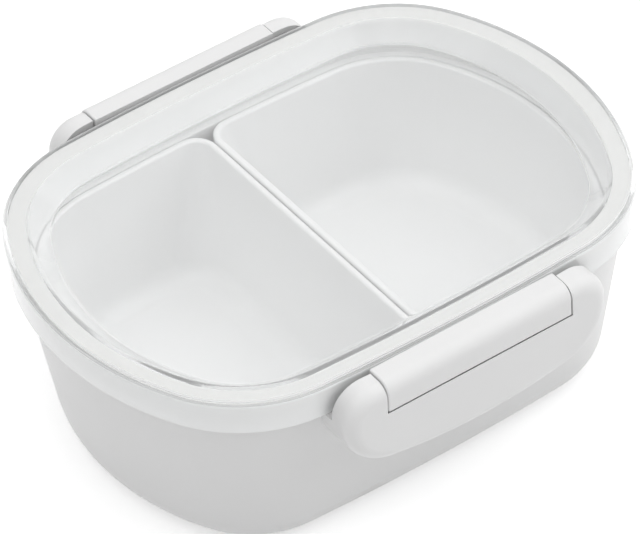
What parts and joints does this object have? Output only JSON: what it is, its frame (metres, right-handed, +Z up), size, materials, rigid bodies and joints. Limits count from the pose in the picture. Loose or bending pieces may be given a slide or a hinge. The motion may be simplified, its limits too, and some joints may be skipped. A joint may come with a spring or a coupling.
{
  "type": "lunch box",
  "caption": "Oval lunch box with a clear lift-off lid and gasket, hinged side latches, and lift-out trays inside a deep base.",
  "frame": {"origin": "centre of the object's box, on the plane that the base stands on", "axes": "+X along the length of the box, towards the right tray; +Y towards the rear latch; +Z up"},
  "size_m": [0.173, 0.1446, 0.063],
  "materials": {
    "base_plastic": "semi-gloss white",
    "latch_plastic": "semi-gloss white",
    "lid_plastic": "clear gloss",
    "gasket_silicone": "matt white",
    "tray_plastic": "semi-gloss white"
  },
  "bodies": {
    "base": {"base_box": "base_plastic"},
    "lid": {"lid": "lid_plastic", "lid_gasket": "gasket_silicone"},
    "front_latch": {"front_latch": "latch_plastic"},
    "rear_latch": {"rear_latch": "latch_plastic"},
    "left_tray": {"left_tray": "tray_plastic"},
    "right_tray": {"right_tray": "tray_plastic"}
  },
  "joints": [
    {"name": "lid_lift", "type": "slide", "parent": "base", "child": "lid", "axis": [0, 0, 1], "range_m": [0, 0.12]},
    {"name": "front_latch_swing", "type": "hinge", "parent": "base", "child": "front_latch", "pos_m": [0, -0.0693, 0.0563], "axis": [1, 0, 0], "range_deg": [0, 90]},
    {"name": "rear_latch_swing", "type": "hinge", "parent": "base", "child": "rear_latch", "pos_m": [0, 0.0693, 0.0563], "axis": [-1, 0, 0], "range_deg": [0, 90]},
    {"name": "left_tray_lift", "type": "slide", "parent": "base", "child": "left_tray", "axis": [0, 0, 1], "range_m": [0, 0.06]},
    {"name": "right_tray_lift", "type": "slide", "parent": "base", "child": "right_tray", "axis": [0, 0, 1], "range_m": [0, 0.06]}
  ],
  "couplings": [
    {"joint": "left_tray_lift", "follows": "lid_lift", "ratio": 0.5},
    {"joint": "right_tray_lift", "follows": "lid_lift", "ratio": 0.5}
  ]
}
